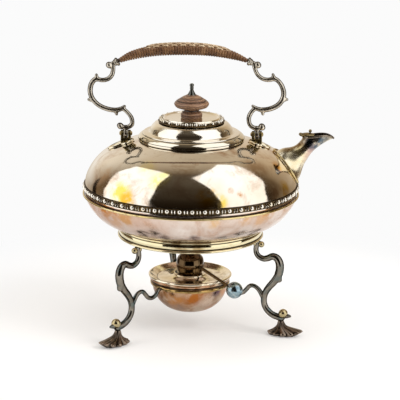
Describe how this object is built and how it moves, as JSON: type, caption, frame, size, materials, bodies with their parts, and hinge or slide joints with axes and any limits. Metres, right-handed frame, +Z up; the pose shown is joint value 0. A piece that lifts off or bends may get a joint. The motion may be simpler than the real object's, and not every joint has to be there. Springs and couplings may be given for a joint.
{
  "type": "tea kettle",
  "caption": "Round-bellied metal tea kettle with a raised spout, hinged lid and cane-wound swing handle, on a scroll-legged stand over a spirit burner.",
  "frame": {"origin": "middle of the footprint of the whole, on the surface that the feet stand on", "axes": "+X towards the spout, +Y towards the back where the lid's hinge is, +Z up"},
  "size_m": [0.2398, 0.2149, 0.279],
  "materials": {
    "silver_plate": "mirror polished, warm tarnish",
    "dark_silver": "polished, dark oxide",
    "gilt_silver": "polished, golden tarnish",
    "bronzed_brass": "darkened by heat",
    "blued_steel": "polished",
    "turned_wood": "oiled",
    "cane": "varnished",
    "wick_cotton": "matt"
  },
  "bodies": {
    "stand": {"stand_ring": "gilt_silver", "leg_1": "dark_silver", "leg_2": "dark_silver", "leg_3": "dark_silver", "foot_1": "dark_silver", "foot_2": "dark_silver", "foot_3": "dark_silver", "bracket_1": "dark_silver", "bracket_2": "dark_silver", "bracket_3": "dark_silver", "burner_ring": "gilt_silver"},
    "kettle": {"body_lower": "silver_plate", "body_upper": "silver_plate", "girdle_band": "silver_plate", "girdle_wire": "silver_plate", "kettle_foot": "silver_plate", "mouth_collar": "silver_plate", "spout": "silver_plate", "spout_base_wire": "silver_plate", "spout_crest": "dark_silver", "lug_left": "dark_silver", "lug_right": "dark_silver", "pivot_pin_left": "dark_silver", "pivot_pin_right": "dark_silver", "hinge_leaf_body": "silver_plate", "hinge_pin": "silver_plate"},
    "lid": {"lid_dome": "silver_plate", "lid_beading": "silver_plate", "lid_bezel": "silver_plate", "hinge_leaf_lid": "silver_plate", "finial_foot": "turned_wood", "finial_knob": "turned_wood", "finial_bolt": "silver_plate", "finial_nut": "silver_plate"},
    "bail": {"bail_arm_left": "dark_silver", "bail_arm_right": "dark_silver", "ferrule_left": "dark_silver", "ferrule_right": "dark_silver", "grip_core": "turned_wood", "grip_cane": "cane"},
    "burner": {"burner_bowl": "silver_plate", "burner_plate": "silver_plate", "wick_tube": "bronzed_brass", "wick": "wick_cotton"},
    "regulator": {"regulator_sleeve": "silver_plate", "regulator_rod": "bronzed_brass", "regulator_ball": "blued_steel"}
  },
  "joints": [
    {"name": "kettle_lift", "type": "slide", "parent": "stand", "child": "kettle", "axis": [0, 0, 1], "range_m": [0, 0.12]},
    {"name": "lid_hinge", "type": "hinge", "parent": "kettle", "child": "lid", "pos_m": [-0.01605, 0.04821, 0.1929], "axis": [-1, 0, 0], "range_deg": [0, 42]},
    {"name": "bail_swing", "type": "hinge", "parent": "kettle", "child": "bail", "pos_m": [-0.01605, -0.00459, 0.1916], "axis": [1, 0, 0], "range_deg": [-80, 80]},
    {"name": "burner_lift", "type": "slide", "parent": "stand", "child": "burner", "axis": [0, 0, 1], "range_m": [0, 0.02]},
    {"name": "regulator_turn", "type": "hinge", "parent": "burner", "child": "regulator", "pos_m": [-0.01605, -0.00459, 0.0543], "axis": [0, 0, 1], "range_deg": [-75, 15]}
  ]
}
